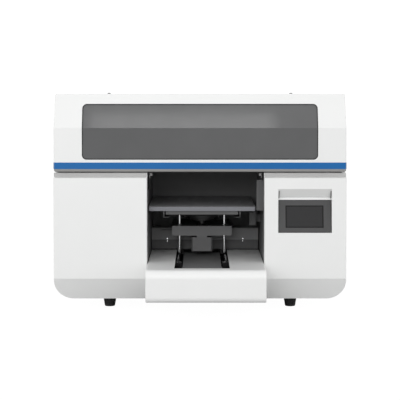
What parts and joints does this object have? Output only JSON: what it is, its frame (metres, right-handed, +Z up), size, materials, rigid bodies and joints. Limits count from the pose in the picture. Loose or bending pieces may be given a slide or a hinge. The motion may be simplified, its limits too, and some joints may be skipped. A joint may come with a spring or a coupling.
{
  "type": "flatbed uv printer",
  "caption": "Desktop flatbed UV printer: white cabinet with hinged windowed lid, sliding print carriage, and a lifting bed on a drive that brings it out over a front tray",
  "frame": {"origin": "on the floor under the middle of the bounding box", "axes": "+X to the printer's right as seen from the front, the front faces -Y, +Z up"},
  "size_m": [0.88, 0.826, 0.661],
  "materials": {
    "white_paint": "smooth semi-gloss powder coat",
    "grey_paint": "satin powder coat",
    "blue_trim": "glossy",
    "smoked_acrylic": "smoked, polished",
    "black_rubber": "matt",
    "black_sheet": "matt powder coat",
    "galvanised": "galvanised",
    "frame_steel": "satin paint",
    "bed_aluminium": "dark hard-anodised",
    "dark_aluminium": "dark anodised",
    "bare_aluminium": "clear anodised",
    "polished_steel": "ground and polished",
    "black_oxide": "blackened, oiled",
    "motor_case": "satin black",
    "panel_plastic": "fine textured",
    "panel_glass": "glossy",
    "head_plastic": "satin",
    "belt_rubber": "toothed, matt",
    "tank_plastic": "translucent",
    "board": "solder mask",
    "bolt_black": "black oxide"
  },
  "bodies": {
    "base": {"left_housing": "white_paint", "right_housing": "white_paint", "front_tray": "white_paint", "rear_panel": "grey_paint", "feet": "black_rubber", "cavity_liner": "black_sheet", "slot_floor": "black_sheet", "cavity_brackets": "black_sheet", "deck_plate": "black_sheet", "capping_station": "black_sheet", "base_pan": "galvanised", "power_supply": "galvanised", "chassis_frame": "frame_steel", "hinge_base_leaves": "frame_steel", "idler_brackets": "dark_aluminium", "x_beam": "bare_aluminium", "x_linear_rail": "polished_steel", "y_guide_shafts": "black_oxide", "shaft_supports": "black_oxide", "x_motor": "motor_case", "y_motor": "motor_case", "hmi_bezel": "panel_plastic", "power_entry": "panel_plastic", "fan_frame": "panel_plastic", "hmi_screen": "panel_glass", "x_belt": "belt_rubber", "y_belt": "belt_rubber", "ink_supply": "tank_plastic", "waste_bottle": "tank_plastic", "main_board": "board"},
    "lid": {"lid_shell": "white_paint", "lid_window": "smoked_acrylic", "window_gasket": "black_rubber", "blue_stripe": "blue_trim", "lid_lip": "grey_paint", "lid_bolts": "bolt_black", "hinge_lid_leaves": "frame_steel"},
    "print_carriage": {"rail_block": "polished_steel", "carriage_plate": "bare_aluminium", "print_heads": "head_plastic", "carriage_cover": "head_plastic", "uv_lamps": "motor_case"},
    "bed_carriage": {"bearing_blocks": "dark_aluminium", "carriage_legs": "dark_aluminium", "lift_platform": "dark_aluminium", "flanged_bushes": "polished_steel", "back_shield": "black_sheet", "shield_studs": "polished_steel", "z_motor": "motor_case"},
    "bed": {"print_bed": "bed_aluminium", "bed_channel": "dark_aluminium", "lift_flange": "dark_aluminium", "guide_rods": "polished_steel"},
    "lead_screw": {"lead_screw": "black_oxide"},
    "x_drive_pulley": {"x_drive_pulley": "bare_aluminium"},
    "x_idler_pulley": {"x_idler_pulley": "bare_aluminium"},
    "y_drive_pulley": {"y_drive_pulley": "bare_aluminium"},
    "y_idler_pulley": {"y_idler_pulley": "bare_aluminium"},
    "fan_rotor": {"fan_rotor": "panel_plastic"},
    "power_switch": {"power_switch": "panel_plastic"}
  },
  "joints": [
    {"name": "lid_hinge", "type": "hinge", "parent": "base", "child": "lid", "pos_m": [0, 0.405, 0.43], "axis": [-1, 0, 0], "range_deg": [0, 60]},
    {"name": "print_slide", "type": "slide", "parent": "base", "child": "print_carriage", "axis": [-1, 0, 0], "range_m": [0, 0.56]},
    {"name": "bed_slide", "type": "slide", "parent": "base", "child": "bed_carriage", "axis": [0, -1, 0], "range_m": [0, 0.34]},
    {"name": "bed_lift", "type": "slide", "parent": "bed_carriage", "child": "bed", "axis": [0, 0, 1], "range_m": [0, 0.05]},
    {"name": "lead_screw_turn", "type": "hinge", "parent": "bed_carriage", "child": "lead_screw", "pos_m": [0.006, 0.049, 0.24], "axis": [0, 0, 1], "continuous": true},
    {"name": "x_drive_turn", "type": "hinge", "parent": "base", "child": "x_drive_pulley", "pos_m": [-0.38, -0.034, 0.516], "axis": [0, 1, 0], "continuous": true},
    {"name": "x_idler_turn", "type": "hinge", "parent": "base", "child": "x_idler_pulley", "pos_m": [0.385, -0.034, 0.516], "axis": [0, 1, 0], "continuous": true},
    {"name": "y_drive_turn", "type": "hinge", "parent": "base", "child": "y_drive_pulley", "pos_m": [0.107, 0.285, 0.11], "axis": [1, 0, 0], "continuous": true},
    {"name": "y_idler_turn", "type": "hinge", "parent": "base", "child": "y_idler_pulley", "pos_m": [0.107, -0.143, 0.11], "axis": [1, 0, 0], "continuous": true},
    {"name": "fan_spin", "type": "hinge", "parent": "base", "child": "fan_rotor", "pos_m": [-0.3, 0.397, 0.3], "axis": [0, 1, 0], "continuous": true},
    {"name": "power_rocker", "type": "hinge", "parent": "base", "child": "power_switch", "pos_m": [0.33, 0.404, 0.1], "axis": [1, 0, 0], "range_deg": [-8, 8]}
  ],
  "couplings": [
    {"joint": "lead_screw_turn", "follows": "bed_lift", "rad_per_m": -628.32},
    {"joint": "x_drive_turn", "follows": "print_slide", "rad_per_m": 90.909},
    {"joint": "x_idler_turn", "follows": "print_slide", "rad_per_m": 90.909},
    {"joint": "y_drive_turn", "follows": "bed_slide", "rad_per_m": 90.909},
    {"joint": "y_idler_turn", "follows": "bed_slide", "rad_per_m": 90.909}
  ]
}
